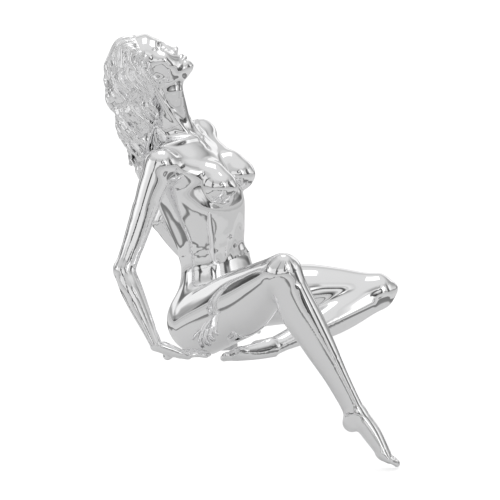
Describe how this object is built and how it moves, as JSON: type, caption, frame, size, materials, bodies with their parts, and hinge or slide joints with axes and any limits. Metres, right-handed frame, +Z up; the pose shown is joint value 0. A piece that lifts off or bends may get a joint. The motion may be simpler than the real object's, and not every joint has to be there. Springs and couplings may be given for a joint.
{
  "type": "full body mannequin",
  "caption": "Seated full body display figure in polished chrome, leaning back on both hands with the head thrown back, one leg hanging and one folded, in plug-together shells.",
  "frame": {"origin": "on the seat plane, at the middle of the seat plate's underside, below the middle of the pelvis", "axes": "+Z up, -Y the way the pelvis faces, +X towards the figure's left"},
  "size_m": [0.6797, 0.9222, 1.107],
  "materials": {
    "chrome": "mirror polished",
    "aluminium": "turned",
    "steel": "machined",
    "magnet": "nickel plated",
    "brass": "machined"
  },
  "bodies": {
    "pelvis": {"pelvis_shell": "chrome", "seat_plate": "aluminium", "seat_insert_1": "brass", "seat_insert_2": "brass", "seat_insert_3": "brass", "waist_socket_disc": "aluminium", "waist_ring_magnet": "magnet", "left_thigh_socket_disc": "aluminium", "left_thigh_ring_magnet": "magnet", "right_thigh_socket_disc": "aluminium", "right_thigh_ring_magnet": "magnet"},
    "torso": {"upper_torso_shell": "chrome", "waist_stud_disc": "aluminium", "waist_stud": "steel", "waist_lock_nut": "steel", "neck_socket_disc": "aluminium", "neck_ring_magnet": "magnet", "left_shoulder_socket_disc": "aluminium", "left_shoulder_ring_magnet": "magnet", "right_shoulder_socket_disc": "aluminium", "right_shoulder_ring_magnet": "magnet"},
    "head": {"head_shell": "chrome", "hair_shell": "chrome", "neck_stud_disc": "aluminium", "neck_stud": "steel", "neck_lock_nut": "steel"},
    "left_arm": {"left_arm_shell": "chrome", "left_shoulder_stud_disc": "aluminium", "left_shoulder_stud": "steel", "left_shoulder_lock_nut": "steel", "left_wrist_socket_disc": "aluminium", "left_wrist_ring_magnet": "magnet"},
    "left_hand": {"left_hand": "chrome", "left_wrist_stud_disc": "aluminium", "left_wrist_stud": "steel", "left_wrist_lock_nut": "steel"},
    "left_leg": {"left_leg_shell": "chrome", "left_thigh_stud_disc": "aluminium", "left_thigh_stud": "steel", "left_thigh_lock_nut": "steel"},
    "right_arm": {"right_arm_shell": "chrome", "right_shoulder_stud_disc": "aluminium", "right_shoulder_stud": "steel", "right_shoulder_lock_nut": "steel", "right_wrist_socket_disc": "aluminium", "right_wrist_ring_magnet": "magnet"},
    "right_hand": {"right_hand": "chrome", "right_wrist_stud_disc": "aluminium", "right_wrist_stud": "steel", "right_wrist_lock_nut": "steel"},
    "right_leg": {"right_leg_shell": "chrome", "right_thigh_stud_disc": "aluminium", "right_thigh_stud": "steel", "right_thigh_lock_nut": "steel"}
  },
  "joints": [
    {"name": "torso_lift", "type": "slide", "parent": "pelvis", "child": "torso", "axis": [-0.1315, 0.2458, 0.9604], "range_m": [0, 0.016]},
    {"name": "head_lift", "type": "slide", "parent": "torso", "child": "head", "axis": [-0.2776, 0.2234, 0.9344], "range_m": [0, 0.08]},
    {"name": "left_arm_pull", "type": "slide", "parent": "torso", "child": "left_arm", "axis": [0.875, 0.4446, -0.1914], "range_m": [0, 0.06]},
    {"name": "left_hand_pull", "type": "slide", "parent": "left_arm", "child": "left_hand", "axis": [0.415, -0.4908, -0.7661], "range_m": [0, 0.03]},
    {"name": "left_leg_pull", "type": "slide", "parent": "pelvis", "child": "left_leg", "axis": [0.6161, -0.7832, 0.0835], "range_m": [0, 0.06]},
    {"name": "right_arm_pull", "type": "slide", "parent": "torso", "child": "right_arm", "axis": [-0.8817, -0.2026, -0.426], "range_m": [0, 0.06]},
    {"name": "right_hand_pull", "type": "slide", "parent": "right_arm", "child": "right_hand", "axis": [-0.0271, -0.5335, -0.8454], "range_m": [0, 0.03]},
    {"name": "right_leg_pull", "type": "slide", "parent": "pelvis", "child": "right_leg", "axis": [-0.2629, -0.8679, 0.4215], "range_m": [0, 0.06]}
  ]
}
